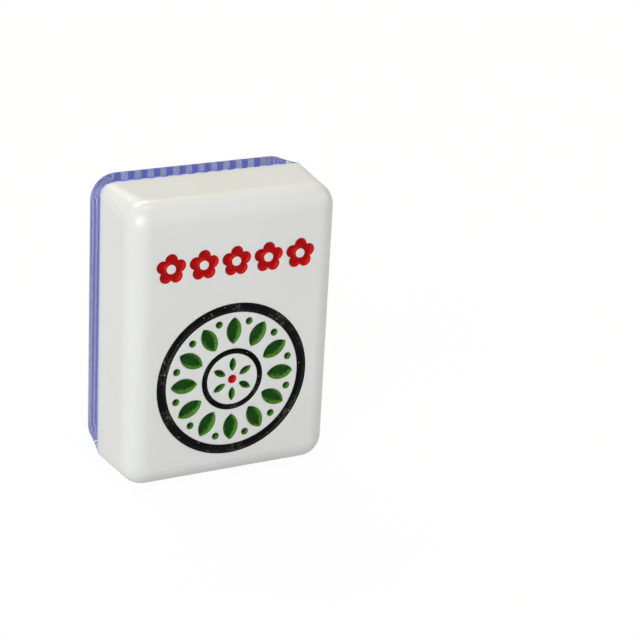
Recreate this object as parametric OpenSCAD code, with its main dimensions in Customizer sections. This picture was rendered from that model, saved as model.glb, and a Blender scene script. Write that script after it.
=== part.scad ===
// Mahjong tile standing on its short end.
// Face toward -Y, clear striped back toward +Y, base on Z = 0, all lengths in millimetres.

/* [Tile] */
// Height of the standing tile
tile_h = 30; // [28:0.5:40]
// Width across the face
tile_w = 22.3; // [21.6:0.1:30]
// Depth from the face to the back
tile_d = 12.5; // [10:0.1:22]
// Thickness of the clear back
cap_t = 4.3; // [3:0.1:8]
// Radius of the outline's four corners at the joint
joint_corner_r = 1.35; // [1:0.05:2]
// Radius that these corners widen to where the rounding of the face begins
face_corner_r = 2.4; // [2.1:0.1:4]
// Radius that these corners widen to where the rounding of the back begins
back_corner_r = 2.8; // [2.1:0.1:4]
// Radius of the rounding round the face
face_edge_r = 2.2; // [1:0.1:2.5]
// Radius of the rounding round the back
back_edge_r = 2; // [1:0.1:2.5]

/* [Print] */
// Thickness of the clear adhesive between block and print
bond_t = 0.1; // [0.05:0.05:0.4]
// Thickness of the pale ink, stripes included
ground_t = 0.2; // [0.15:0.05:0.5]
// Thickness of the blue stripes, set into the pale ink
stripe_t = 0.1; // [0.05:0.01:0.12]
// Distance from one blue stripe to the next
stripe_pitch = 1.43; // [1:0.01:2.4]
// Width of one blue stripe
stripe_w = 0.71; // [0.4:0.01:0.9]
// How far the middle stripe lies to one side
stripe_shift = -0.07; // [-0.35:0.01:0.35]
// Pale ink kept beyond the outermost stripes
stripe_clear = 0.2; // [0.1:0.05:0.6]

/* [Engraving] */
// Depth of the engraved grooves
groove_depth = 0.6; // [0.4:0.05:1.2]
// How far the paint stays below the face
paint_below = 0.15; // [0.05:0.05:0.3]
// White left round the engraving on the flat of the face
face_margin = 0.4; // [0.2:0.1:1]

/* [Rosette] */
// Outer radius of the large ring
ring_r = 8.2; // [7:0.1:8.3]
// Width of the large ring
ring_w = 1.05; // [0.7:0.05:1.4]
// Outer radius of the small ring
small_ring_r = 3.35; // [3:0.05:4]
// Width of the small ring
small_ring_w = 0.65; // [0.4:0.05:0.8]
// White between the rings and the petals and beads
petal_gap = 0.45; // [0.25:0.05:0.7]
// Number of long petals, with a bead between each two
petal_count = 12; // [8:1:14]
// Width of a long petal
petal_w = 1.7; // [0.7:0.05:1.8]
// Radius of a bead
bead_r = 0.42; // [0.25:0.01:0.5]
// Radius of the middle dot
dot_r = 0.5; // [0.3:0.05:0.6]
// White round the heart petals, to the dot and to the small ring
heart_gap = 0.35; // [0.2:0.05:0.45]
// Number of heart petals
heart_count = 6; // [4:1:6]
// Width of a heart petal
heart_w = 0.78; // [0.4:0.02:0.8]

/* [Blossoms] */
// Number of blossoms in the row
blossom_count = 5; // [2:1:5]
// Reach of a blossom from its middle
blossom_r = 1.63; // [1.2:0.01:1.65]
// Number of lobes on a blossom
lobe_count = 5; // [5:1:6]
// Radius of one lobe as a share of the blossom's reach
lobe_share = 0.417; // [0.39:0.001:0.46]
// Radius of the white island in a blossom
island_r = 0.45; // [0.35:0.01:0.55]

/* [Foil] */
// Thickness of the stamped foil, flush with the back
foil_t = 0.06; // [0.03:0.01:0.15]
// Width of the stalk
stalk_w = 1.1; // [0.8:0.05:1.5]
// Number of stalk segments
segment_count = 4; // [3:1:4]
// Height of one stalk segment
segment_h = 3.5; // [2.5:0.1:3.8]
// Gap between two segments
segment_gap = 0.4; // [0.2:0.05:0.5]
// Length of a leaf
leaf_len = 4.2; // [3:0.1:4.6]
// Width of a leaf
leaf_w = 1.15; // [0.7:0.05:1.3]
// Angle of a leaf above the level
leaf_lift = 32; // [25:1:38]
// Space between stalk and leaf
leaf_clear = 0.3; // [0.2:0.05:0.6]

/* [Hidden] */
// Smoothness of every round
$fn = 96;
// How far a cut runs past the face it opens
cut_over = 0.5;
// Thickness of the white face block
block_t = tile_d - bond_t - ground_t - cap_t;
// Front of the white block
y_front = -tile_d / 2;
// Back of the white block
y_bond = y_front + block_t;
// Front of the pale ink
y_ground = y_bond + bond_t;
// Front of the clear back
y_cap = y_ground + ground_t;
// Rear of the clear back
y_back = tile_d / 2;
// Largest edge rounding as a share of the corner radius that it runs round
round_limit_share = 0.98;
// Rounding round the face
face_round = min(face_edge_r, face_corner_r * round_limit_share);
// Rounding round the back
back_round = min(back_edge_r, back_corner_r * round_limit_share);
// Width of the flat of the face
flat_w = tile_w - 2 * face_round;
// Height of the rosette's middle above the base
rosette_z = face_round + face_margin + ring_r;
// Radius that the petals and beads reach
petal_tip_r = ring_r - ring_w - petal_gap;
// Radius where the petals begin
petal_root_r = small_ring_r + petal_gap;
// Radius that the heart petals reach
heart_tip_r = small_ring_r - small_ring_w - heart_gap;
// Radius where the heart petals begin
heart_root_r = dot_r + heart_gap;
// Height of the blossoms, midway between the ring and the top of the flat
blossom_z = (rosette_z + ring_r + tile_h - face_round) / 2;
// Radius of one lobe of a blossom
lobe_r = blossom_r * lobe_share;
// Radius from a blossom's middle to the middle of a lobe
lobe_mid_r = blossom_r - lobe_r;
// Distance from one blossom to the next
blossom_pitch = (flat_w - 2 * face_margin - 2 * blossom_r) / (blossom_count - 1);
// Thickness of the paint
paint_t = groove_depth - paint_below;
// Width on each side of the middle that the stripes may fill
stripe_room = tile_w / 2 - stripe_clear - stripe_w / 2 - abs(stripe_shift);
// Stripes on each side of the middle one
stripe_half = floor(stripe_room / stripe_pitch);
// Distance from one stalk segment to the next
segment_pitch = segment_h + segment_gap;
// Height of the whole stalk
stalk_h = segment_count * segment_pitch - segment_gap;
// Height of the stalk's foot above the base
stalk_z = (tile_h - stalk_h) / 2;

// Flat shapes, drawn with X across the tile and Y up it

// Outline of the tile at the joint, standing on Y = 0
module outline() {
    translate([-tile_w / 2 + joint_corner_r, 0])
        square([tile_w - 2 * joint_corner_r, tile_h]);
    translate([-tile_w / 2, joint_corner_r])
        square([tile_w, tile_h - 2 * joint_corner_r]);
    for (side = [-1, 1], z = [joint_corner_r, tile_h - joint_corner_r])
        translate([side * (tile_w / 2 - joint_corner_r), z])
            circle(r = joint_corner_r);
}

// Closed ring, measured to its outside
module ring(r, w) {
    difference() {
        circle(r = r);
        circle(r = r - w);
    }
}

// Pointed leaf between two arcs, long along Y
module leaf(len, w) {
    arc_r = (len * len + w * w) / (4 * w);
    intersection() {
        translate([arc_r - w / 2, 0])
            circle(r = arc_r);
        translate([w / 2 - arc_r, 0])
            circle(r = arc_r);
    }
}

// Leaves set round the middle, pointing outward from one radius to another
module leaf_wheel(count, root_r, tip_r, w) {
    for (i = [0 : count - 1])
        rotate(i * 360 / count)
            translate([0, (root_r + tip_r) / 2])
                leaf(tip_r - root_r, w);
}

// Wheel of long petals
module petal_wheel() {
    leaf_wheel(petal_count, petal_root_r, petal_tip_r, petal_w);
}

// Wheel of heart petals
module heart_wheel() {
    leaf_wheel(heart_count, heart_root_r, heart_tip_r, heart_w);
}

// Beads set round the middle, one between each two petals
module bead_wheel() {
    for (i = [0 : petal_count - 1])
        rotate((i + 1 / 2) * 360 / petal_count)
            translate([0, petal_tip_r - bead_r])
                circle(r = bead_r);
}

// One blossom with a white island
module blossom() {
    difference() {
        for (i = [0 : lobe_count - 1])
            rotate(i * 360 / lobe_count)
                translate([0, lobe_mid_r])
                    circle(r = lobe_r);
        circle(r = island_r);
    }
}

// Row of blossoms across the face
module blossom_row() {
    for (i = [0 : blossom_count - 1])
        translate([(i - (blossom_count - 1) / 2) * blossom_pitch, blossom_z])
            blossom();
}

// Blue stripes, ended by the outline
module stripe_row() {
    for (i = [-stripe_half : stripe_half])
        intersection() {
            outline();
            translate([stripe_shift + i * stripe_pitch - stripe_w / 2, 0])
                square([stripe_w, tile_h]);
        }
}

// Stalk of separate segments
module stalk() {
    for (i = [0 : segment_count - 1])
        translate([-stalk_w / 2, stalk_z + i * segment_pitch])
            square([stalk_w, segment_h]);
}

// Pairs of leaves at the gaps of the stalk
module leaf_sprig() {
    for (i = [1 : segment_count - 1], side = [-1, 1])
        translate([side * (stalk_w / 2 + leaf_clear), stalk_z + i * segment_pitch - segment_gap / 2])
            rotate(side * (leaf_lift - 90))
                translate([0, leaf_len / 2])
                    leaf(leaf_len, leaf_w);
}

// Solids

// Flat shape made solid, its front at y and its thickness toward the back
module plate(y, t) {
    translate([0, y + t, 0])
        rotate([90, 0, 0])
            linear_extrude(height = t)
                children();
}

// Flat shape made solid round the rosette's middle
module rosette_plate(y, t) {
    plate(y, t)
        translate([0, rosette_z])
            children();
}

// Section of the rounded edge, from the corner's middle outward
module edge_section(r, corner_r) {
    square([corner_r - r, r]);
    intersection() {
        translate([corner_r - r, 0])
            circle(r = r);
        square([corner_r, r]);
    }
}

// Straight part of the rounded edge, running along X from the origin
module edge_side(len, r, corner_r) {
    rotate([90, 0, 90])
        linear_extrude(height = len)
            edge_section(r, corner_r);
}

// Rounded edge round the middle, lying with the rounding up
module crown(r, corner_r) {
    in_w = tile_w - 2 * corner_r;
    in_h = tile_h - 2 * corner_r;
    translate([-in_w / 2, -in_h / 2, 0])
        cube([in_w, in_h, r]);
    for (turn = [0, 180])
        rotate([0, 0, turn]) {
            translate([-in_w / 2, in_h / 2, 0])
                edge_side(in_w, r, corner_r);
            translate([in_w / 2, in_h / 2, 0])
                rotate([0, 0, -90])
                    edge_side(in_h, r, corner_r);
            translate([in_w / 2, in_h / 2, 0])
                rotate_extrude(angle = 90)
                    edge_section(r, corner_r);
            translate([-in_w / 2, in_h / 2, 0])
                rotate([0, 0, 90])
                    rotate_extrude(angle = 90)
                        edge_section(r, corner_r);
        }
}

// Bar along X whose span narrows upward by the growth of the corners
module flank_bar(len, span, h, corner_r) {
    rotate([90, 0, 90])
        translate([0, 0, -len / 2])
            linear_extrude(height = len)
                polygon([
                    [joint_corner_r - span / 2, 0], [span / 2 - joint_corner_r, 0],
                    [span / 2 - corner_r, h], [corner_r - span / 2, h]
                ]);
}

// Straight sides round the middle, with corners that widen upward from the joint
module flanks(h, corner_r) {
    lean = (corner_r - joint_corner_r) / h;
    flank_bar(tile_w, tile_h, h, corner_r);
    rotate([0, 0, 90])
        flank_bar(tile_h, tile_w, h, corner_r);
    for (corner = [[1, 1, 0], [-1, 1, 90], [-1, -1, 180], [1, -1, 270]])
        translate([corner[0] * (tile_w / 2 - joint_corner_r), corner[1] * (tile_h / 2 - joint_corner_r), 0])
            multmatrix([[1, 0, -corner[0] * lean, 0], [0, 1, -corner[1] * lean, 0], [0, 0, 1, 0], [0, 0, 0, 1]])
                rotate([0, 0, corner[2]])
                    rotate_extrude(angle = 90)
                        polygon([[0, 0], [joint_corner_r, 0], [corner_r, h], [0, h]]);
}

// Slab with one rounded edge, lying with the joint down and the rounding up
module rounded_slab(t, r, corner_r) {
    translate([0, tile_h / 2, 0]) {
        flanks(t - r, corner_r);
        translate([0, 0, t - r])
            crown(r, corner_r);
    }
}

// Sub-parts

// White block with the engraved grooves
module face_block() {
    color("ivory")
        difference() {
            translate([0, y_bond, 0])
                rotate([90, 0, 0])
                    rounded_slab(block_t, face_round, face_corner_r);
            rosette_plate(y_front - cut_over, groove_depth + cut_over) {
                ring(ring_r, ring_w);
                ring(small_ring_r, small_ring_w);
                petal_wheel();
                heart_wheel();
                bead_wheel();
                circle(r = dot_r);
            }
            plate(y_front - cut_over, groove_depth + cut_over)
                blossom_row();
        }
}

// Black paint of the large ring
module ring_paint() {
    color("black")
        rosette_plate(y_front + paint_below, paint_t)
            ring(ring_r, ring_w);
}

// Black paint of the small ring
module small_ring_paint() {
    color("black")
        rosette_plate(y_front + paint_below, paint_t)
            ring(small_ring_r, small_ring_w);
}

// Green paint of the long petals
module petal_paint() {
    color("darkgreen")
        rosette_plate(y_front + paint_below, paint_t)
            petal_wheel();
}

// Green paint of the beads
module bead_paint() {
    color("darkgreen")
        rosette_plate(y_front + paint_below, paint_t)
            bead_wheel();
}

// Green paint of the heart petals
module heart_paint() {
    color("darkgreen")
        rosette_plate(y_front + paint_below, paint_t)
            heart_wheel();
}

// Red paint of the middle dot
module dot_paint() {
    color("crimson")
        rosette_plate(y_front + paint_below, paint_t)
            circle(r = dot_r);
}

// Red paint of the blossoms
module blossom_paint() {
    color("crimson")
        plate(y_front + paint_below, paint_t)
            blossom_row();
}

// Clear adhesive that holds the print to the block
module bond_layer() {
    color("gainsboro")
        plate(y_bond, bond_t)
            outline();
}

// Pale ink flooded over the stripes and between them
module print_ground() {
    color("lavender")
        difference() {
            plate(y_ground, ground_t)
                outline();
            plate(y_cap - stripe_t, stripe_t + cut_over)
                stripe_row();
        }
}

// Blue ink stripes against the clear back
module blue_stripes() {
    color("royalblue")
        plate(y_cap - stripe_t, stripe_t)
            stripe_row();
}

// Clear back with the stamped hollows for the foil
module back_cap() {
    color("lightblue", 0.4)
        difference() {
            translate([0, y_cap, 0])
                mirror([0, 1, 0])
                    rotate([90, 0, 0])
                        rounded_slab(cap_t, back_round, back_corner_r);
            plate(y_back - foil_t, foil_t + cut_over) {
                stalk();
                leaf_sprig();
            }
        }
}

// Silver foil of the stalk
module foil_stalk() {
    color("silver")
        plate(y_back - foil_t, foil_t)
            stalk();
}

// Silver foil of the leaves
module foil_leaves() {
    color("silver")
        plate(y_back - foil_t, foil_t)
            leaf_sprig();
}

face_block();
ring_paint();
small_ring_paint();
petal_paint();
bead_paint();
heart_paint();
dot_paint();
blossom_paint();
bond_layer();
print_ground();
blue_stripes();
back_cap();
foil_stalk();
foil_leaves();
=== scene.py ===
"""Mahjong tile on its short end: engraved white face toward -Y, clear striped back toward +Y.

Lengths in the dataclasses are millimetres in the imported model's frame, unless a class says otherwise.
Meshes are in metres.
"""
import logging
import math
from collections.abc import Mapping
from dataclasses import dataclass
from enum import Enum
from typing import Union

import bmesh
import bpy
import numpy as np
from mathutils import Euler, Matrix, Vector
from mathutils.geometry import delaunay_2d_cdt


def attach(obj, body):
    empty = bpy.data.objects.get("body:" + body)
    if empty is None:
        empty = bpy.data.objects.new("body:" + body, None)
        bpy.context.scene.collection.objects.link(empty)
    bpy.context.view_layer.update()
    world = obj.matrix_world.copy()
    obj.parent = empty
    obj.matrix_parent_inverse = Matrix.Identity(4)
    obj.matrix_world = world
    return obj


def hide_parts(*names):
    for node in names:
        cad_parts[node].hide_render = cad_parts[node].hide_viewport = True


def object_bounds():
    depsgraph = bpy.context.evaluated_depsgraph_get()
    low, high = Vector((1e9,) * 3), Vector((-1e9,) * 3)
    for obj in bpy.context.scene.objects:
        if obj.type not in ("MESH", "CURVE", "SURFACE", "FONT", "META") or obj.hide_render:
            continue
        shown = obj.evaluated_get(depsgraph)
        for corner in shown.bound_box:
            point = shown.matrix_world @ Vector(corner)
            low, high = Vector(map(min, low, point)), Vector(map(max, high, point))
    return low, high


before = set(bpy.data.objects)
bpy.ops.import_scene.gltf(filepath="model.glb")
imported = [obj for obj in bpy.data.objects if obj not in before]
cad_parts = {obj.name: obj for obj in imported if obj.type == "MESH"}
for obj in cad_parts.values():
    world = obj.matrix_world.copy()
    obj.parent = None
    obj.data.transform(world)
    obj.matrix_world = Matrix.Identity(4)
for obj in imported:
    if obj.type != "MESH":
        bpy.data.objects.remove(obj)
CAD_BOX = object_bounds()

LOG = logging.getLogger("tile")
MM = 0.001
BODY = "root"
WELD = 1e-7
SHARP_ANGLE = math.radians(38)
QUARTER = math.pi / 2
ACRYLIC_IOR = 1.49
WHITE = (1.0, 1.0, 1.0)

Colour = tuple[float, float, float]
Span = tuple[float, float]
Value = Union["Wire", float]
Tint = Union["Wire", Colour]
OutlineAndCore = tuple[np.ndarray, np.ndarray]


# Shader maths


class Wire:
    """One output socket of a node tree, with arithmetic that adds Math nodes."""

    def __init__(self, shade: "Shade", socket: bpy.types.NodeSocket) -> None:
        """Keeps the tree and the socket."""
        self.shade = shade
        self.socket = socket

    def _math(self, operation: str, *values: Value) -> "Wire":
        """Adds one Math node on the given values."""
        return self.shade.node("ShaderNodeMath", {"operation": operation}, dict(enumerate(values)))

    def __add__(self, other: Value) -> "Wire":
        """Sum."""
        return self._math("ADD", self, other)

    __radd__ = __add__

    def __sub__(self, other: Value) -> "Wire":
        """Difference."""
        return self._math("SUBTRACT", self, other)

    def __rsub__(self, other: Value) -> "Wire":
        """Difference from a number."""
        return self._math("SUBTRACT", other, self)

    def __mul__(self, other: Value) -> "Wire":
        """Product."""
        return self._math("MULTIPLY", self, other)

    __rmul__ = __mul__

    def __truediv__(self, other: Value) -> "Wire":
        """Quotient."""
        return self._math("DIVIDE", self, other)

    def __rtruediv__(self, other: Value) -> "Wire":
        """A number divided by the wire."""
        return self._math("DIVIDE", other, self)

    def __abs__(self) -> "Wire":
        """Size without sign."""
        return self._math("ABSOLUTE", self)

    def root(self) -> "Wire":
        """Square root."""
        return self._math("SQRT", self)

    def fract(self) -> "Wire":
        """Part after the decimal point."""
        return self._math("FRACT", self)

    def at_least(self, other: Value) -> "Wire":
        """The larger of the two."""
        return self._math("MAXIMUM", self, other)

    def at_most(self, other: Value) -> "Wire":
        """The smaller of the two."""
        return self._math("MINIMUM", self, other)

    def ramp(self, low: float, high: float, start: float = 0.0, end: float = 1.0) -> "Wire":
        """Eases from start to end as the wire goes from low to high.

        Args:
            low: value where the change begins.
            high: value where the change ends.
            start: result at and below low.
            end: result at and above high.

        Returns:
            The eased value.
        """
        settings = {"interpolation_type": "SMOOTHSTEP", "clamp": True}
        return self.shade.node("ShaderNodeMapRange", settings, {0: self, 1: low, 2: high, 3: start, 4: end})


class Shade:
    """The node tree of a material or a world while it is being written."""

    CHANCE_STEP = 0.01

    def __init__(self, owner: bpy.types.Material | bpy.types.World) -> None:
        """Empties the owner's node tree."""
        owner.use_nodes = True
        self.owner = owner
        self.tree = owner.node_tree
        self.tree.nodes.clear()

    @classmethod
    def material(cls, name: str) -> "Shade":
        """Starts a new material."""
        return cls(bpy.data.materials.new(name))

    def add(self, kind: str, settings: Mapping, inputs: Mapping) -> bpy.types.Node:
        """Adds a node.

        Args:
            kind: the node's type.
            settings: its own properties, set first.
            inputs: a value or a wire for each socket, by name or place.

        Returns:
            The node.
        """
        made = self.tree.nodes.new(kind)
        for key, value in settings.items():
            setattr(made, key, value)
        for key, value in inputs.items():
            if isinstance(value, Wire):
                self.tree.links.new(value.socket, made.inputs[key])
            elif made.inputs[key].type == "RGBA":
                made.inputs[key].default_value = (*value, 1.0)
            else:
                made.inputs[key].default_value = value
        return made

    def node(self, kind: str, settings: Mapping, inputs: Mapping, out: int | str = 0) -> Wire:
        """Adds a node and hands back one of its outputs, by name or place."""
        return Wire(self, self.add(kind, settings, inputs).outputs[out])

    def place(self) -> Wire:
        """Object coordinates in millimetres."""
        where = self.node("ShaderNodeTexCoord", {}, {}, "Object")
        return self.node("ShaderNodeVectorMath", {"operation": "SCALE"}, {0: where, "Scale": 1.0 / MM})

    def axis(self, where: Wire, name: str) -> Wire:
        """One coordinate of a place."""
        return self.node("ShaderNodeSeparateXYZ", {}, {0: where}, name)

    def noise(self, where: Wire, size: float, detail: float = 3.0, rough: float = 0.5) -> Wire:
        """Cloudy value from 0 to 1.

        Args:
            where: place in millimetres.
            size: width of the largest clouds in millimetres.
            detail: how many finer layers are added.
            rough: strength of the finer layers.

        Returns:
            The noise.
        """
        inputs = {"Vector": where, "Scale": 1.0 / size, "Detail": detail, "Roughness": rough}
        return self.node("ShaderNodeTexNoise", {}, inputs)

    def mix(self, factor: Value, first: Tint, second: Tint) -> Wire:
        """Colour between two colours."""
        settings = {"data_type": "RGBA", "clamp_factor": True}
        return self.node("ShaderNodeMix", settings, {0: factor, 6: first, 7: second}, 2)

    def specks(self, where: Wire, spacing: float, radius: float, share: float) -> Wire:
        """Sparse small dots, each near the middle of a random cell.

        Args:
            where: place in millimetres.
            spacing: width of the cell that may hold a dot.
            radius: radius of a dot.
            share: part of the cells that hold one.

        Returns:
            One on a dot, zero elsewhere.
        """
        inputs = {"Vector": where, "Scale": 1.0 / spacing, "Randomness": 1.0}
        cells = self.add("ShaderNodeTexVoronoi", {"feature": "F1"}, inputs).outputs
        chance = self.node("ShaderNodeSeparateColor", {}, {0: Wire(self, cells["Color"])})
        edge = radius / spacing
        dot = Wire(self, cells["Distance"]).ramp(edge / 2, edge, 1.0, 0.0)
        return dot * chance.ramp(1.0 - share, 1.0 - share + self.CHANCE_STEP)

    def bump(self, height: Wire, depth: float, strength: float) -> Wire:
        """Normal raised by a height.

        Args:
            height: value from 0 to 1.
            depth: height of 1 in millimetres.
            strength: share of the effect.

        Returns:
            The normal.
        """
        inputs = {"Height": height, "Distance": depth * MM, "Strength": strength}
        return self.node("ShaderNodeBump", {}, inputs)

    def surface(self, inputs: Mapping) -> bpy.types.Material:
        """Ends the material with one Principled shader."""
        return self.finish(self.node("ShaderNodeBsdfPrincipled", {}, inputs))

    def finish(self, shader: Wire) -> bpy.types.Material:
        """Sends a shader to the output and hands back the material."""
        self.add("ShaderNodeOutputMaterial", {}, {"Surface": shader})
        return self.owner


# Finishes


@dataclass(frozen=True)
class WhiteAcrylic:
    """Polished creamy white acrylic with faint clouds, specks and polishing waves."""

    tone: Colour = (0.80, 0.80, 0.785)
    cream: Colour = (0.785, 0.78, 0.745)
    cloud_size: float = 9.0
    cloud_span: Span = (0.35, 0.75)
    speck: Colour = (0.30, 0.27, 0.22)
    speck_gap: float = 5.5
    speck_r: float = 0.07
    speck_share: float = 0.12
    speck_strength: float = 0.7
    rough: float = 0.20
    rough_spread: float = 0.08
    rough_size: float = 2.5
    wave_size: float = 4.0
    wave_height: float = 0.02
    wave_strength: float = 0.35
    scatter: float = 0.9
    scatter_share: float = 0.25
    scatter_reach: Colour = (1.0, 0.9, 0.75)

    def make(self) -> bpy.types.Material:
        """Writes the material.

        Returns:
            The material.
        """
        shade = Shade.material("white_acrylic")
        at = shade.place()
        clouds = shade.noise(at, self.cloud_size, detail=2.0).ramp(*self.cloud_span)
        specks = shade.specks(at, self.speck_gap, self.speck_r, self.speck_share)
        colour = shade.mix(clouds, self.tone, self.cream)
        colour = shade.mix(specks * self.speck_strength, colour, self.speck)
        waves = shade.noise(at, self.wave_size, detail=1.0)
        return shade.surface({
            "Base Color": colour,
            "Roughness": self.rough + shade.noise(at, self.rough_size, detail=4.0) * self.rough_spread,
            "IOR": ACRYLIC_IOR,
            "Subsurface Weight": self.scatter_share,
            "Subsurface Radius": self.scatter_reach,
            "Subsurface Scale": self.scatter * MM,
            "Normal": shade.bump(waves, self.wave_height, self.wave_strength),
        })


@dataclass(frozen=True)
class GroovePaint:
    """Paint that pools in a groove, thins raggedly toward its rim, and holds dust and lighter patches that
    are partly scuffs and partly a painted sheen.
    """

    name: str
    pool: Colour
    thin: Colour
    dust: Colour
    dust_share: float
    dust_r: float = 0.05
    dust_gap: float = 0.45
    gloss: float = 0.09
    # Strength of the lighter patches in the dust colour: partly scuffs, partly a painted sheen on the paint.
    scuff_and_sheen: float = 0.1
    scuff_and_sheen_size: float = 0.16
    scuff_and_sheen_span: Span = (0.50, 0.68)
    sheen_patch_size: float = 2.4
    sheen_patch_span: Span = (0.48, 0.62)
    grain_size: float = 0.35
    grain_height: float = 0.05
    grain_strength: float = 0.5
    rim_wander: float = 0.9
    rim_span: Span = (0.45, 1.0)
    rim_strength: float = 0.9
    rough: float = 0.24
    rough_spread: float = 0.16
    ior: float = 1.5

    def make(self) -> bpy.types.Material:
        """Writes the material, which reads how near the rim each point lies.

        Returns:
            The material.
        """
        shade = Shade.material(self.name)
        at = shade.place()
        rim = shade.node("ShaderNodeAttribute", {"attribute_name": Stock.RIM}, {}, "Fac")
        grain = shade.noise(at, self.grain_size, rough=0.6)
        edge = (rim + (grain - 0.5) * self.rim_wander).ramp(*self.rim_span)
        # Lighter patches mixed toward the dust colour: partly scuff wear, partly a painted sheen standing in
        # for the paint's gloss.
        fine = shade.noise(at, self.scuff_and_sheen_size, detail=2.0).ramp(*self.scuff_and_sheen_span)
        sheen_patches = shade.noise(at, self.sheen_patch_size, detail=1.0).ramp(*self.sheen_patch_span)
        specks = shade.specks(at, self.dust_gap, self.dust_r, self.dust_share)
        colour = shade.mix(edge * self.rim_strength, self.pool, self.thin)
        colour = shade.mix(fine * sheen_patches * self.scuff_and_sheen, colour, self.dust)
        colour = shade.mix(specks, colour, self.dust)
        return shade.surface({
            "Base Color": colour,
            "Roughness": self.rough + grain * self.rough_spread,
            "IOR": self.ior,
            "Specular IOR Level": self.gloss,
            "Normal": shade.bump(grain, self.grain_height, self.grain_strength),
        })


class PaintPot(Enum):
    """The three paints of the face."""

    # Black carries the strongest lighter patches, which partly paint a sheen on it.
    BLACK = GroovePaint(
        "black_paint", pool=(0.003, 0.003, 0.003), thin=(0.020, 0.019, 0.020), dust=(0.36, 0.35, 0.33),
        dust_share=0.3, dust_r=0.085, gloss=0.07, scuff_and_sheen=0.25,
    )
    GREEN = GroovePaint(
        "green_paint", pool=(0.006, 0.060, 0.006), thin=(0.105, 0.290, 0.026), dust=(0.22, 0.45, 0.09),
        dust_share=0.12,
    )
    RED = GroovePaint(
        "red_paint", pool=(0.46, 0.002, 0.004), thin=(0.64, 0.016, 0.014), dust=(0.66, 0.10, 0.09),
        dust_share=0.05,
    )


@dataclass(frozen=True)
class StripeLayout:
    """Where the printed stripes lie: even bars across a print that reaches as far on both sides."""

    reach: float
    pitch: float = 1.43
    width: float = 0.71
    shift: float = -0.07

    def edge_distance(self, x: Wire) -> Wire:
        """Distance from the nearest stripe's edge, below zero inside the blue."""
        across = ((x - self.shift) / self.pitch + 0.5).fract() - 0.5
        return abs(across) * self.pitch - self.width / 2


@dataclass(frozen=True)
class HalftoneInk:
    """Mottled printing ink, broken into screen dots of the other ink beside the edges of the stripes."""

    name: str
    layout: StripeLayout
    ink: Colour
    other: Colour
    inside: bool
    pinhole: float = 0.0
    cell: float = 0.13
    soft: float = 0.035
    cover: float = 0.46
    dot_spread: float = 0.62
    dot_blur: Span = (-0.09, 0.05)
    dot_strength: float = 0.9
    faintest: float = 0.05
    rim_fade: Span = (-0.2, -0.05)
    mottle_size: float = 0.6
    mottle_span: Span = (0.5, 0.8)
    mottle_strength: float = 0.5
    mottle_shade: float = 0.86
    rough: float = 0.55
    rough_spread: float = 0.1

    def screen(self, shade: Shade, at: Wire) -> Wire:
        """Dots on a grid turned by 45 degrees, whose area falls evenly away from a stripe's edge.

        Args:
            shade: the material.
            at: place in millimetres.

        Returns:
            One on a dot, zero elsewhere and along the print's own rim.
        """
        x, z = shade.axis(at, "X"), shade.axis(at, "Z")
        gap = self.layout.edge_distance(x)
        depth = gap * -1.0 if self.inside else gap
        turn = 1.0 / (self.cell * math.sqrt(2.0))
        u = ((x + z) * turn).fract() - 0.5
        v = ((x - z) * turn).fract() - 0.5
        away = (u * u + v * v).root()
        rim = (abs(x) - self.layout.reach).ramp(*self.rim_fade, 1.0, 0.0)
        tone = (self.cover - depth / self.soft * self.cover).at_least(self.pinhole) * rim
        radius = tone.root() * self.dot_spread
        return (away - radius).ramp(*self.dot_blur, 1.0, 0.0) * tone.ramp(0.0, self.faintest)

    def make(self) -> bpy.types.Material:
        """Writes the material.

        Returns:
            The material.
        """
        shade = Shade.material(self.name)
        at = shade.place()
        dots = self.screen(shade, at) * self.dot_strength
        mottle = shade.noise(at, self.mottle_size, detail=2.0)
        darker = tuple(c * self.mottle_shade for c in self.ink)
        plain, shaded = (shade.mix(dots, ink, self.other) for ink in (self.ink, darker))
        return shade.surface({
            "Base Color": shade.mix(mottle.ramp(*self.mottle_span) * self.mottle_strength, plain, shaded),
            "Roughness": self.rough + mottle * self.rough_spread,
            "Specular IOR Level": 0.0,
        })


@dataclass(frozen=True)
class ClearAdhesive:
    """Thin cured adhesive that looks milky over the white block."""

    tone: Colour = (0.74, 0.74, 0.74)
    dull: Colour = (0.62, 0.63, 0.66)
    cloud_size: float = 0.5
    cloud_span: Span = (0.4, 0.7)
    rough: float = 0.3
    rough_spread: float = 0.1

    def make(self) -> bpy.types.Material:
        """Writes the material.

        Returns:
            The material.
        """
        shade = Shade.material("clear_adhesive")
        clouds = shade.noise(shade.place(), self.cloud_size)
        return shade.surface({
            "Base Color": shade.mix(clouds.ramp(*self.cloud_span), self.tone, self.dull),
            "Roughness": self.rough + clouds * self.rough_spread,
            "IOR": ACRYLIC_IOR,
        })


@dataclass(frozen=True)
class ClearAcrylic:
    """Polished clear acrylic with fine handling marks."""

    tone: Colour = (0.97, 0.98, 0.99)
    worn: Colour = (0.94, 0.955, 0.975)
    mark_size: float = 1.2
    tone_span: Span = (0.45, 0.75)
    rough_span: Span = (0.5, 0.85)
    rough: float = 0.03

    def make(self) -> bpy.types.Material:
        """Writes the material.

        Returns:
            The material.
        """
        shade = Shade.material("clear_acrylic")
        marks = shade.noise(shade.place(), self.mark_size, detail=4.0, rough=0.6)
        return shade.surface({
            "Base Color": shade.mix(marks.ramp(*self.tone_span), self.tone, self.worn),
            "Roughness": marks.ramp(*self.rough_span, 0.0, self.rough),
            "IOR": ACRYLIC_IOR,
            "Transmission Weight": 1.0,
        })


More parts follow.
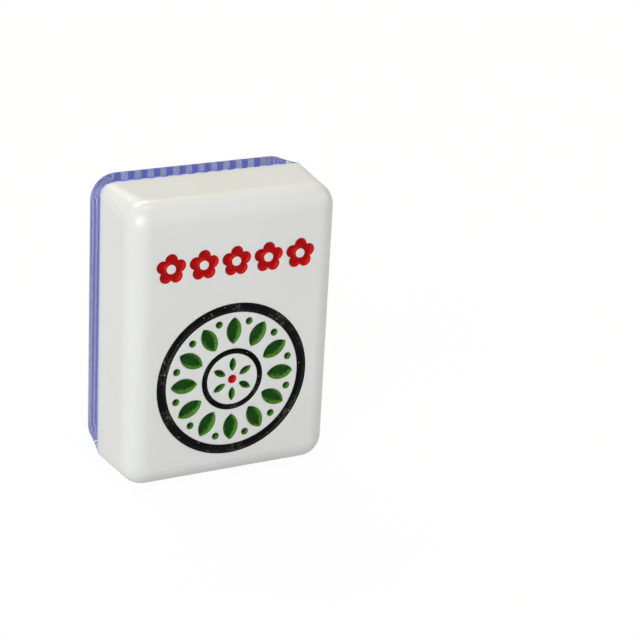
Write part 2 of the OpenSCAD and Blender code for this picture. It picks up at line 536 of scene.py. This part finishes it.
@dataclass(frozen=True)
class SilverFoil:
    """Bright stamped foil with a fine pressed grain."""

    tone: Colour = (0.95, 0.955, 0.96)
    dull: Colour = (0.86, 0.87, 0.89)
    grain_size: float = 0.22
    grain_span: Span = (0.4, 0.75)
    grain_height: float = 0.008
    grain_strength: float = 0.3
    rough: float = 0.20
    rough_spread: float = 0.12

    def make(self) -> bpy.types.Material:
        """Writes the material.

        Returns:
            The material.
        """
        shade = Shade.material("silver_foil")
        grain = shade.noise(shade.place(), self.grain_size, rough=0.6)
        return shade.surface({
            "Base Color": shade.mix(grain.ramp(*self.grain_span), self.tone, self.dull),
            "Metallic": 1.0,
            "Roughness": self.rough + grain * self.rough_spread,
            "Normal": shade.bump(grain, self.grain_height, self.grain_strength),
        })


# Surfaces


def quads(rows: int, columns: int) -> np.ndarray:
    """Faces of a grid whose columns close on themselves.

    Args:
        rows: rings of points.
        columns: points in a ring.

    Returns:
        Four point numbers for each face.
    """
    row, here = np.meshgrid(np.arange(rows - 1), np.arange(columns), indexing="ij")
    after = (here + 1) % columns
    this, above = row * columns, (row + 1) * columns
    return np.stack((this + here, this + after, above + after, above + here), -1).reshape(-1, 4)


class Stock:
    """Points and faces of one piece before they become a mesh."""

    RIM = "rim"

    def __init__(self) -> None:
        """Starts empty."""
        self.points: list[np.ndarray] = []
        self.faces: list[list[int]] = []
        self.rims: list[np.ndarray] = []
        self.count = 0

    def add(self, points: np.ndarray, faces: np.ndarray, rim: np.ndarray | None = None) -> None:
        """Adds points in millimetres and faces that number them from zero.

        Args:
            points: array that ends in x, y and z.
            faces: point numbers, faces by corners.
            rim: how near the rim each point lies, for the finish.
        """
        flat = points.reshape(-1, 3)
        self.points.append(flat)
        self.rims.append(np.zeros(len(flat)) if rim is None else rim.reshape(-1))
        self.faces.extend((faces + self.count).tolist())
        self.count += len(flat)

    def rings(self, rings: np.ndarray, rim: np.ndarray | None = None) -> None:
        """Adds closed rings of points, rows by columns by 3, joined by faces."""
        self.add(rings, quads(*rings.shape[:2]), rim)

    def lid(self, ring: np.ndarray) -> None:
        """Adds one flat face on a ring."""
        self.add(ring, np.arange(len(ring))[None])

    def piece(self, name: str, material: bpy.types.Material, slot: str, node: str) -> bpy.types.Object:
        """Makes the mesh object, rides it on the tile and hides the CAD node that it stands for.

        Args:
            name: the piece's name.
            material: its finish.
            slot: not used.
            node: CAD node that it replaces.

        Returns:
            The object.
        """
        mesh = bpy.data.meshes.new(name)
        mesh.from_pydata(np.concatenate(self.points) * MM, [], self.faces)
        rim = mesh.attributes.new(self.RIM, "FLOAT", "POINT")
        rim.data.foreach_set("value", np.concatenate(self.rims).astype(np.float32))
        shell = bmesh.new()
        shell.from_mesh(mesh)
        bmesh.ops.remove_doubles(shell, verts=shell.verts, dist=WELD)
        bmesh.ops.dissolve_degenerate(shell, edges=shell.edges, dist=WELD)
        bmesh.ops.recalc_face_normals(shell, faces=shell.faces)
        shell.to_mesh(mesh)
        shell.free()
        mesh.shade_smooth()
        mesh.set_sharp_from_angle(angle=SHARP_ANGLE)
        mesh.materials.append(material)
        made = bpy.data.objects.new(name, mesh)
        bpy.context.scene.collection.objects.link(made)
        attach(made, BODY)
        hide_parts(node)
        return made


@dataclass(frozen=True)
class TileForm:
    """Outer form that the block and the clear back share."""

    width: float
    depth: float
    height: float
    joint_corner: float = 1.35
    back: float = 4.3
    ground: float = 0.2
    bond: float = 0.1
    arc_steps: int = 24
    side_steps: int = 16

    @classmethod
    def of_box(cls, box: tuple[Vector, Vector]) -> "TileForm":
        """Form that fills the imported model's box, given in metres."""
        return cls(*((high - low) / MM for low, high in zip(*box)))

    @property
    def y_front(self) -> float:
        """Front of the white block."""
        return -self.depth / 2

    @property
    def y_cap(self) -> float:
        """Front of the clear back."""
        return self.depth / 2 - self.back

    @property
    def y_bond(self) -> float:
        """Back of the white block."""
        return self.y_cap - self.ground - self.bond

    def ring(self, inset: float, corner: float, y: float) -> np.ndarray:
        """Rounded rectangle at a depth: four quarter arcs joined by straight sides.

        Args:
            inset: distance of the sides inward from the tile's.
            corner: radius of the arcs.
            y: depth.

        Returns:
            Points of the closed ring.
        """
        angles = np.linspace(0, QUARTER, self.arc_steps)
        half = np.array([self.width, self.height]) / 2 - inset - corner
        arcs = []
        for turn, signs in enumerate(((1, 1), (-1, 1), (-1, -1), (1, -1))):
            turned_angles = angles + turn * QUARTER
            arcs.append(half * signs + corner * np.stack([np.cos(turned_angles), np.sin(turned_angles)], 1))
        steps = np.linspace(0, 1, self.side_steps, endpoint=False)[1:, None]
        parts = []
        for here, after in zip(arcs, arcs[1:] + arcs[:1]):
            parts += [here, here[-1] + (after[0] - here[-1]) * steps]
        flat = np.concatenate(parts)
        return np.stack([flat[:, 0], np.full(len(flat), y), flat[:, 1] + self.height / 2], 1)


@dataclass(frozen=True)
class Rounding:
    """Sides and rounded edge of one slab of the tile."""

    corner: float
    edge: float
    side_steps: int = 12
    edge_steps: int = 28
    guard: float = 0.06
    blend: float = 1.0

    def corner_at(self, form: TileForm, run: float, past: np.ndarray) -> np.ndarray:
        """Corner radius: grows evenly from the joint and levels off, by a parabola, where the edge turns.

        Args:
            form: the tile's form.
            run: distance from the joint to where the edge turns.
            past: distances beyond the turn.

        Returns:
            Radius at each distance.
        """
        parabola = np.clip(self.blend - past, 0, 2 * self.blend) ** 2 / (4 * self.blend)
        eased = np.where(past < -self.blend, -past, parabola)
        return self.corner - (self.corner - form.joint_corner) / run * eased

    def shell(self, form: TileForm, y_joint: float, y_end: float) -> np.ndarray:
        """Sides whose corners widen from the joint, then a quarter round carried round the outline.

        Args:
            form: the tile's form.
            y_joint: depth of the joint.
            y_end: depth of the flat end.

        Returns:
            Rings by points by 3, with a narrow flat strip last.
        """
        sign = math.copysign(1.0, y_end - y_joint)
        run = abs(y_end - y_joint) - self.edge
        angles = np.linspace(0, QUARTER, self.edge_steps)
        side = np.linspace(-run, 0, self.side_steps)[:-1]
        past = np.concatenate([side, self.edge * np.sin(angles), [self.edge]])
        rounded = self.edge * (1 - np.cos(angles))
        insets = np.concatenate([np.zeros(len(side)), rounded, [self.edge + self.guard]])
        corners = self.corner_at(form, run, past) - insets
        depths = y_joint + sign * (run + past)
        return np.stack([form.ring(*ring) for ring in zip(insets, corners, depths)])


@dataclass(frozen=True)
class Cut:
    """Section of an engraved groove from its edge to its middle, and of the paint in it."""

    depth: float = 0.56
    lip: float = 0.07
    guard: float = 0.05
    lip_steps: int = 5
    wall_steps: int = 9
    paint_start: float = 0.045
    film: float = 0.008
    pool: float = 0.15
    pool_power: float = 1.5

    def section(self, half: float) -> tuple[np.ndarray, np.ndarray]:
        """Groove: a flat guard, a rounded lip, then a quarter ellipse down to the middle.

        Args:
            half: half of the groove's width.

        Returns:
            Distance from the edge as a share of the half width, and depth.
        """
        lip_angles = np.linspace(0, QUARTER, self.lip_steps)
        lip_in = -self.lip / 2 + self.lip * np.sin(lip_angles)
        lip_down = self.lip * (1 - np.cos(lip_angles))
        wall_angles = np.linspace(0, QUARTER, self.wall_steps)[1:]
        wall_in = lip_in[-1] + (half - lip_in[-1]) * (1 - np.cos(wall_angles))
        wall_down = lip_down[-1] + (self.depth - lip_down[-1]) * np.sin(wall_angles)
        inward = np.concatenate([[-self.lip / 2 - self.guard], lip_in, wall_in])
        return inward / half, np.concatenate([[0.0], lip_down, wall_down])

    def paint(self, half: float) -> tuple[np.ndarray, np.ndarray, np.ndarray]:
        """Paint: follows the groove from below the lip and thickens toward the middle, where it pools.

        Args:
            half: half of the groove's width.

        Returns:
            Share of the half width, depth of the groove, and depth of the paint's top.
        """
        shares, depths = self.section(half)
        start = int(np.searchsorted(depths, self.paint_start))
        shares, depths = shares[start:], depths[start:]
        grow = (shares - shares[0]) / (shares[-1] - shares[0])
        return shares, depths, depths - self.film - self.pool * grow ** self.pool_power


def carried(edge: np.ndarray, core: np.ndarray, shares: np.ndarray, depths: np.ndarray) -> np.ndarray:
    """Section carried along an edge: each point lies a share of the way from the edge to the core.

    Args:
        edge: edge as x and z.
        core: matching points that the edge is drawn toward.
        shares: shares of the way, one for each ring.
        depths: y of each ring.

    Returns:
        Rings by points by 3.
    """
    flat = edge[None] + shares[:, None, None] * (core - edge)[None]
    y = np.broadcast_to(depths[:, None], flat.shape[:2])
    return np.stack([flat[..., 0], y, flat[..., 1]], -1)


@dataclass(frozen=True)
class Flank:
    """One side of a groove: its edge, the line that it runs down to, and its half width."""

    edge: np.ndarray
    core: np.ndarray
    half: float


@dataclass(frozen=True)
class Groove:
    """A groove in the face, with one flank or two."""

    flanks: tuple[Flank, ...]

    @staticmethod
    def spun(radii: np.ndarray, angles: np.ndarray) -> np.ndarray:
        """Points at radii and angles from the middle."""
        return np.stack([radii * np.cos(angles), radii * np.sin(angles)], 1)

    @classmethod
    def band(cls, outer: np.ndarray, inner: np.ndarray, angles: np.ndarray, middle: np.ndarray) -> "Groove":
        """Closed band between two radii that may change with the angle.

        Args:
            outer: outer radius at each angle.
            inner: inner radius at each angle.
            angles: the angles.
            middle: centre on the face.

        Returns:
            The groove.
        """
        core = cls.spun((outer + inner) / 2, angles) + middle
        half = float((outer - inner).mean() / 2)
        sides = (cls.spun(outer, angles) + middle, cls.spun(inner, angles) + middle)
        return cls(tuple(Flank(side, core, half) for side in sides))

    @classmethod
    def ring(cls, radius: float, width: float, middle: np.ndarray, steps: int) -> "Groove":
        """Round closed ring.

        Args:
            radius: radius of its outside.
            width: width of the groove.
            middle: centre on the face.
            steps: points round it.

        Returns:
            The groove.
        """
        angles = np.linspace(0, 2 * math.pi, steps, endpoint=False)
        outer = np.full(steps, radius)
        return cls.band(outer, outer - width, angles, middle)

    @classmethod
    def dot(cls, radius: float, middle: np.ndarray, steps: int) -> "Groove":
        """Round hollow that runs down to its middle.

        Args:
            radius: radius of its edge.
            middle: centre on the face.
            steps: points round it.

        Returns:
            The groove.
        """
        angles = np.linspace(0, 2 * math.pi, steps, endpoint=False)
        edge = cls.spun(np.full(steps, radius), angles) + middle
        return cls((Flank(edge, np.broadcast_to(middle, edge.shape), radius),))

    def cut(self, stock: Stock, cut: Cut, y_front: float) -> list[np.ndarray]:
        """Adds the groove's walls to the block.

        Args:
            stock: the block.
            cut: the section.
            y_front: depth of the face.

        Returns:
            The loops that the flat of the face stops at.
        """
        loops = []
        for flank in self.flanks:
            shares, depths = cut.section(flank.half)
            rings = carried(flank.edge, flank.core, shares, y_front + depths)
            stock.rings(rings)
            loops.append(rings[0][:, [0, 2]])
        return loops

    def fill(self, stock: Stock, cut: Cut, y_front: float) -> None:
        """Adds the paint as a closed skin: its top, its underside and its rim.

        Args:
            stock: the paint's piece.
            cut: the section.
            y_front: depth of the face.
        """
        for flank in self.flanks:
            shares, under, top = cut.paint(flank.half)
            depths = np.concatenate([under[::-1], top])
            both = np.concatenate([shares[::-1], shares])
            rings = carried(flank.edge, flank.core, both, y_front + depths)
            nearness = 1.0 - (both - shares[0]) / (1.0 - shares[0])
            stock.rings(rings, np.broadcast_to(nearness[:, None], rings.shape[:2]))


def leaf_outline(length: float, width: float, steps: int, core_share: float = 0.8) -> OutlineAndCore:
    """Leaf between two arcs of one radius, long along Z, with the line down its middle.

    Args:
        length: tip to tip.
        width: at the middle.
        steps: points along each arc.
        core_share: length of the middle line as a share of the leaf's.

    Returns:
        Outline and the matching points of the middle line, as x and z.
    """
    arc = (length ** 2 + width ** 2) / (4 * width)
    z = -length / 2 * np.cos(np.linspace(0, math.pi, steps + 1))
    x = np.sqrt(arc ** 2 - z ** 2) - (arc - width / 2)
    x[[0, -1]] = 0.0
    outline = np.concatenate([np.stack([x, z], 1)[:-1], np.stack([-x, z], 1)[:0:-1]])
    return outline, outline * np.array([0.0, core_share])


def inside(points: np.ndarray, loop: np.ndarray) -> np.ndarray:
    """Tells which points a closed loop surrounds, by counting the edges to one side of each.

    Args:
        points: array of n by 2.
        loop: corners of the loop in order.

    Returns:
        True for each point inside.
    """
    (ax, ay), (bx, by) = loop.T, np.roll(loop, -1, axis=0).T
    px, py = points[:, :1], points[:, 1:]
    spans = (ay > py) != (by > py)
    rise = np.where(by == ay, 1.0, by - ay)
    return (spans & (px < ax + (py - ay) * (bx - ax) / rise)).sum(1) % 2 == 1


def turned(points: np.ndarray, degrees: float) -> np.ndarray:
    """Points turned about the origin, anticlockwise as x and z are drawn."""
    a = math.radians(degrees)
    return points @ np.array([[math.cos(a), math.sin(a)], [-math.sin(a), math.cos(a)]])


# Sub-assemblies


@dataclass(frozen=True)
class PaintedGroup:
    """Grooves that one piece of paint fills, with the CAD node that it stands for."""

    piece: str
    node: str
    pot: PaintPot
    grooves: list[Groove]


@dataclass
class Engraving:
    """Rosette and row of blossoms cut into the face and painted."""

    cut: Cut = Cut()
    middle: tuple[float, float] = (0.0, 10.8)
    ring_r: float = 8.2
    ring_w: float = 1.05
    ring_steps: int = 288
    small_ring_r: float = 3.35
    small_ring_w: float = 0.65
    small_ring_steps: int = 160
    petals: int = 12
    petal_root: float = 3.8
    petal_tip: float = 6.7
    petal_w: float = 1.7
    petal_steps: int = 26
    bead_r: float = 0.42
    bead_steps: int = 32
    hearts: int = 6
    heart_root: float = 0.85
    heart_tip: float = 2.35
    heart_w: float = 0.78
    heart_steps: int = 20
    dot_r: float = 0.5
    dot_steps: int = 40
    blossoms: int = 5
    blossom_z: float = 23.4
    blossom_pitch: float = 3.46
    blossom_r: float = 1.63
    lobes: int = 5
    lobe_share: float = 0.417
    lobe_steps: int = 16
    island_r: float = 0.45

    def leaf_wheel(self, count: int, root: float, tip: float, width: float, steps: int) -> list[Groove]:
        """Leaf hollows set round the rosette's middle, pointing outward.

        Args:
            count: number of leaves.
            root: radius where they begin.
            tip: radius where they end.
            width: width of a leaf.
            steps: points along each arc.

        Returns:
            The grooves.
        """
        outline, core = leaf_outline(tip - root, width, steps)
        lift = np.array([0.0, (root + tip) / 2])
        grooves = []
        for i in range(count):
            edge, line = (turned(p + lift, i * 360 / count) + self.middle for p in (outline, core))
            grooves.append(Groove((Flank(edge, line, width / 2),)))
        return grooves

    def beads(self) -> list[Groove]:
        """Round hollows between the petals' tips.

        Returns:
            The grooves.
        """
        lift = np.array([[0.0, self.petal_tip - self.bead_r]])
        angles = (np.arange(self.petals) + 0.5) * 360 / self.petals
        return [Groove.dot(self.bead_r, turned(lift, a)[0] + self.middle, self.bead_steps) for a in angles]

    def blossom_row(self) -> list[Groove]:
        """Blossoms: each edge is the outermost of five circles, each island a circle.

        Returns:
            The grooves.
        """
        steps = self.lobe_steps * self.lobes
        angles = np.arange(steps) * 2 * math.pi / steps + QUARTER
        lobe = self.blossom_r * self.lobe_share
        reach = self.blossom_r - lobe
        sector = 2 * math.pi / self.lobes
        off = (angles - QUARTER + sector / 2) % sector - sector / 2
        outer = reach * np.cos(off) + np.sqrt(lobe ** 2 - (reach * np.sin(off)) ** 2)
        inner = np.full(steps, self.island_r)
        across = (np.arange(self.blossoms) - (self.blossoms - 1) / 2) * self.blossom_pitch
        return [Groove.band(outer, inner, angles, np.array([x, self.blossom_z])) for x in across]

    def groups(self) -> list[PaintedGroup]:
        """Grooves by the piece of paint that fills them.

        Returns:
            The groups.
        """
        middle = np.array(self.middle)
        ring = Groove.ring(self.ring_r, self.ring_w, middle, self.ring_steps)
        small_ring = Groove.ring(self.small_ring_r, self.small_ring_w, middle, self.small_ring_steps)
        petals = self.leaf_wheel(self.petals, self.petal_root, self.petal_tip, self.petal_w, self.petal_steps)
        hearts = self.leaf_wheel(self.hearts, self.heart_root, self.heart_tip, self.heart_w, self.heart_steps)
        dot = Groove.dot(self.dot_r, middle, self.dot_steps)
        return [
            PaintedGroup("large_ring_fill", "ring_paint", PaintPot.BLACK, [ring]),
            PaintedGroup("small_ring_fill", "small_ring_paint", PaintPot.BLACK, [small_ring]),
            PaintedGroup("petal_fills", "petal_paint", PaintPot.GREEN, petals),
            PaintedGroup("bead_fills", "bead_paint", PaintPot.GREEN, self.beads()),
            PaintedGroup("heart_petal_fills", "heart_paint", PaintPot.GREEN, hearts),
            PaintedGroup("middle_dot_fill", "dot_paint", PaintPot.RED, [dot]),
            PaintedGroup("blossom_fills", "blossom_paint", PaintPot.RED, self.blossom_row()),
        ]


@dataclass
class FaceBlock:
    """White block with its rounded front, its grooves and the paint in them."""

    form: TileForm
    engraving: Engraving
    rounding: Rounding = Rounding(corner=2.4, edge=2.2)
    merge: float = 1e-6

    def build(self) -> list[bpy.types.Object]:
        """Builds the block and the paint.

        Returns:
            The pieces.
        """
        groups = self.engraving.groups()
        y_front = self.form.y_front
        block = Stock()
        shell = self.rounding.shell(self.form, self.form.y_bond, y_front)
        block.rings(shell)
        block.lid(shell[0][::-1])
        loops = [shell[-1][:, [0, 2]]]
        for group in groups:
            for groove in group.grooves:
                loops += groove.cut(block, self.engraving.cut, y_front)
        self.flat(block, loops)
        made = [block.piece("engraved_block", WhiteAcrylic().make(), "white_acrylic", "face_block")]
        finishes = {pot: pot.value.make() for pot in PaintPot}
        for group in groups:
            paint = Stock()
            for groove in group.grooves:
                groove.fill(paint, self.engraving.cut, y_front)
            made.append(paint.piece(group.piece, finishes[group.pot], group.pot.value.name, group.node))
        return made

    def flat(self, block: Stock, loops: list[np.ndarray]) -> None:
        """Flat of the face: triangles between the rounding and the grooves, which are left open.

        Args:
            block: the block.
            loops: the rounding's loop and each groove's loops.
        """
        starts = np.cumsum([0] + [len(loop) for loop in loops])
        rings = [np.arange(first, last) for first, last in zip(starts[:-1], starts[1:])]
        edges = np.concatenate([np.stack([ring, np.roll(ring, -1)], 1) for ring in rings])
        inside_only = 1
        made = delaunay_2d_cdt(np.concatenate(loops).tolist(), edges.tolist(), [], inside_only, self.merge)
        flat, faces = np.array(made[0]), np.array(made[2])
        middles = flat[faces].mean(1)
        solid = sum(inside(middles, loop).astype(int) for loop in loops) % 2 == 1
        y = np.full(len(flat), self.form.y_front)
        block.add(np.stack([flat[:, 0], y, flat[:, 1]], 1), faces[solid])


@dataclass
class StripedPrint:
    """Adhesive, pale ink and blue stripes between the block and the clear back."""

    form: TileForm
    pale: Colour = (0.44, 0.50, 0.95)
    blue: Colour = (0.018, 0.082, 0.85)
    pinhole: float = 0.03

    def build(self) -> list[bpy.types.Object]:
        """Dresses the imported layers.

        Returns:
            The layers.
        """
        layout = StripeLayout(self.form.width / 2)
        pale = HalftoneInk("pale_ink", layout, self.pale, self.blue, inside=False)
        blue = HalftoneInk("blue_ink", layout, self.blue, self.pale, inside=True, pinhole=self.pinhole)
        finishes = {"bond_layer": ClearAdhesive(), "print_ground": pale, "blue_stripes": blue}
        layers = []
        for node, finish in finishes.items():
            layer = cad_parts[node]
            layer.data.materials.clear()
            layer.data.materials.append(finish.make())
            layers.append(layer)
        return layers


@dataclass
class ClearBack:
    """Clear back with its rounded edge, standing a hair into the print and below the foil."""

    form: TileForm
    rounding: Rounding = Rounding(corner=2.8, edge=2.0, edge_steps=40)
    lap: float = 0.03
    draft: float = 0.03
    shy: float = 0.012

    def build(self) -> list[bpy.types.Object]:
        """Builds the clear back.

        Returns:
            The piece.
        """
        form = self.form
        lead = form.ring(self.draft, form.joint_corner - self.draft, form.y_cap - self.lap)
        shell = self.rounding.shell(form, form.y_cap, form.depth / 2 - self.shy)
        shell = np.concatenate([lead[None], shell])
        cap = Stock()
        cap.rings(shell)
        cap.lid(shell[0])
        cap.lid(shell[-1])
        return [cap.piece("clear_back", ClearAcrylic().make(), "clear_acrylic", "back_cap")]


@dataclass
class FoilSprig:
    """Stamped foil on the back: a stalk of segments with pairs of leaves.

    A plate's section runs from its middle out along the underside, then back over the domed top. The
    underside has shares of the way from edge to middle, and the top has each share with its sink.
    """

    form: TileForm
    stalk_w: float = 1.1
    segments: int = 4
    segment_h: float = 3.5
    segment_gap: float = 0.4
    segment_steps: int = 25
    waist: float = 0.80
    line_share: float = 0.9
    leaf_len: float = 4.2
    leaf_w: float = 1.15
    leaf_steps: int = 28
    leaf_lift: float = 32.0
    leaf_clear: float = 0.3
    thick: float = 0.05
    under: tuple[float, ...] = (1.0, 0.5, 0.0)
    over: tuple[Span, ...] = ((0.0, 0.008), (0.04, 0.004), (0.2, 0.002), (0.5, 0.001), (1.0, 0.0))

    def plate(self, stock: Stock, outline: np.ndarray, core: np.ndarray) -> None:
        """Thin closed plate with a faintly domed top.

        Args:
            stock: the foil's piece.
            outline: edge as x and z.
            core: matching points of the middle line.
        """
        top_shares, top_sinks = np.array(self.over).T
        shares = np.concatenate([self.under, top_shares])
        sinks = np.concatenate([np.full(len(self.under), self.thick), top_sinks])
        stock.rings(carried(outline, core, shares, self.form.depth / 2 - sinks))

    def segment(self) -> OutlineAndCore:
        """Stalk segment: a bar that narrows to its waist, by a fourth power, and flares at the ends.

        Returns:
            Outline and the matching points of the middle line, as x and z.
        """
        along = np.linspace(-1, 1, self.segment_steps)
        z = along * self.segment_h / 2
        x = self.stalk_w / 2 * (self.waist + (1 - self.waist) * along ** 4)
        outline = np.concatenate([np.stack([x, z], 1), np.stack([-x, z], 1)[::-1]])
        return outline, outline * np.array([0.0, self.line_share])

    def build(self) -> list[bpy.types.Object]:
        """Builds the stalk and the leaves.

        Returns:
            The pieces.
        """
        pitch = self.segment_h + self.segment_gap
        foot = (self.form.height - self.segments * pitch + self.segment_gap) / 2
        stalk, leaves = Stock(), Stock()
        bar, line = self.segment()
        for i in range(self.segments):
            lift = np.array([0.0, foot + i * pitch + self.segment_h / 2])
            self.plate(stalk, bar + lift, line + lift)
        edge, rib = leaf_outline(self.leaf_len, self.leaf_w, self.leaf_steps)
        out = np.array([0.0, self.leaf_len / 2])
        reach = self.stalk_w / 2 + self.leaf_clear
        for i in range(1, self.segments):
            joint_z = foot + i * pitch - self.segment_gap / 2
            for side in (-1, 1):
                turn = side * (self.leaf_lift - 90)
                root = np.array([side * reach, joint_z])
                self.plate(leaves, *(turned(p + out, turn) + root for p in (edge, rib)))
        foil = SilverFoil().make()
        return [
            stalk.piece("stalk_foil", foil, "silver_foil", "foil_stalk"),
            leaves.piece("leaf_foil", foil, "silver_foil", "foil_leaves"),
        ]


# Studio


@dataclass(frozen=True)
class Sight:
    """Share of the white background that rays meet: all of it from the camera, less otherwise.

    Rays that light a surface through clear acrylic meet a smaller part again, so that the background
    adds little light to the print.
    """

    mirrored: float
    through: float
    lighting: float = 0.45

    def wire(self, shade: Shade) -> Wire:
        """Adds the share to a node tree.

        Args:
            shade: the floor's material or the world.

        Returns:
            The share, from 0 to 1.
        """
        rays = shade.add("ShaderNodeLightPath", {}, {}).outputs
        camera, glossy, clear, bounces = (
            Wire(shade, rays[name])
            for name in ("Is Camera Ray", "Is Glossy Ray", "Is Transmission Ray", "Diffuse Depth")
        )
        kept = 1.0 - bounces.at_most(1.0) * (1.0 - self.lighting)
        return camera.at_least((glossy * self.mirrored).at_least(clear * self.through) * kept)


class LampRole(Enum):
    """The studio's lamps."""

    KEY = "key"
    TOP = "top"
    REAR = "rear"
    SIDE = "side"


@dataclass(frozen=True)
class Lamp:
    """Soft rectangular lamp, in metres and watts."""

    role: LampRole
    where: tuple[float, float, float]
    size: tuple[float, float]
    watts: float
    tint: Colour = WHITE

    def hang(self, aim: Vector) -> None:
        """Adds the lamp, turned toward a place.

        Args:
            aim: the place.
        """
        data = bpy.data.lights.new(self.role.value, "AREA")
        data.shape = "RECTANGLE"
        data.size, data.size_y = self.size
        data.energy = self.watts
        data.color = self.tint
        made = bpy.data.objects.new(self.role.value, data)
        made.location = self.where
        made.rotation_euler = (aim - Vector(self.where)).to_track_quat("-Z", "Y").to_euler()
        made.visible_camera = False
        bpy.context.scene.collection.objects.link(made)


@dataclass
class Studio:
    """Floor, light and camera. The aim, the floor's reach and the lamps are in metres, turns in degrees."""

    aim: tuple[float, float, float] = (0.0, 0.0, 0.015)
    floor_reach: float = 3.0
    floor_gap: float = 0.03
    floor_tones: tuple[Colour, Colour] = ((0.59, 0.59, 0.59), (0.61, 0.61, 0.61))
    paper_size: float = 40.0
    floor_glow: float = 1.03
    floor_white: float = 0.93
    floor_sight: Sight = Sight(mirrored=0.6, through=0.7)
    world_fill: float = 0.30
    world_sight: Sight = Sight(mirrored=0.3, through=0.6)
    camera_at: tuple[float, float, float] = (-80.065, -173.622, 93.956)
    camera_turn: tuple[float, float, float] = (67.609, -2.977, -26.936)
    camera_near: float = 5.0
    lens: float = 114.257
    sensor: float = 36.0
    lamps: tuple[Lamp, ...] = (
        Lamp(LampRole.KEY, (-0.37, -0.32, 0.23), (0.40, 0.40), 2.12, (0.955, 0.98, 1.0)),
        Lamp(LampRole.TOP, (0.015, 0.02, 0.55), (0.38, 0.09), 0.28, (1.0, 0.975, 0.72)),
        Lamp(LampRole.REAR, (0.0, 0.40, 0.45), (0.38, 0.15), 1.30, (1.0, 0.98, 0.80)),
        Lamp(LampRole.SIDE, (0.55, -0.22, 0.30), (0.4, 0.4), 0.8),
    )

    def build(self) -> None:
        """Builds the studio."""
        bpy.context.scene.view_settings.view_transform = "Standard"
        self.floor()
        self.world()
        for lamp in self.lamps:
            lamp.hang(Vector(self.aim))
        self.camera()

    def floor(self) -> None:
        """Pale floor that shows white to the camera and keeps the tile's shadow."""
        far, z = self.floor_reach, -self.floor_gap * MM
        mesh = bpy.data.meshes.new("floor")
        corners = [(-far, -far, z), (far, -far, z), (far, far, z), (-far, far, z)]
        mesh.from_pydata(corners, [], [range(len(corners))])
        shade = Shade.material("floor_white")
        paper = shade.mix(shade.noise(shade.place(), self.paper_size, detail=2.0), *self.floor_tones)
        diffuse = shade.node("ShaderNodeBsdfDiffuse", {}, {"Color": paper})
        glow = shade.node("ShaderNodeEmission", {}, {"Color": WHITE, "Strength": self.floor_glow})
        factor = self.floor_sight.wire(shade) * self.floor_white
        shown = shade.node("ShaderNodeMixShader", {}, {0: factor, 1: diffuse, 2: glow})
        mesh.materials.append(shade.finish(shown))
        made = bpy.data.objects.new("floor", mesh)
        bpy.context.scene.collection.objects.link(made)

    def world(self) -> None:
        """White surroundings, with a weaker fill for the light on the tile."""
        world = bpy.data.worlds.new("studio")
        bpy.context.scene.world = world
        shade = Shade(world)
        strength = self.world_sight.wire(shade) * (1.0 - self.world_fill) + self.world_fill
        sky = shade.node("ShaderNodeBackground", {}, {"Color": WHITE, "Strength": strength})
        shade.add("ShaderNodeOutputWorld", {}, {"Surface": sky})

    def camera(self) -> None:
        """Camera at the photograph's place."""
        data = bpy.data.cameras.new("camera")
        data.sensor_fit = "HORIZONTAL"
        data.sensor_width = self.sensor
        data.lens = self.lens
        data.clip_start = self.camera_near * MM
        made = bpy.data.objects.new("camera", data)
        made.location = Vector(self.camera_at) * MM
        made.rotation_euler = Euler([math.radians(turn) for turn in self.camera_turn])
        bpy.context.scene.collection.objects.link(made)
        bpy.context.scene.camera = made


def main() -> None:
    """Builds the tile and its studio."""
    logging.basicConfig(level=logging.INFO, format="%(name)s %(message)s")
    form = TileForm.of_box(CAD_BOX)
    for assembly in (FaceBlock(form, Engraving()), StripedPrint(form), ClearBack(form), FoilSprig(form)):
        for piece in assembly.build():
            LOG.info("%s: %d faces", piece.name, len(piece.data.polygons))
    Studio().build()


if __name__ == "__main__":
    main()
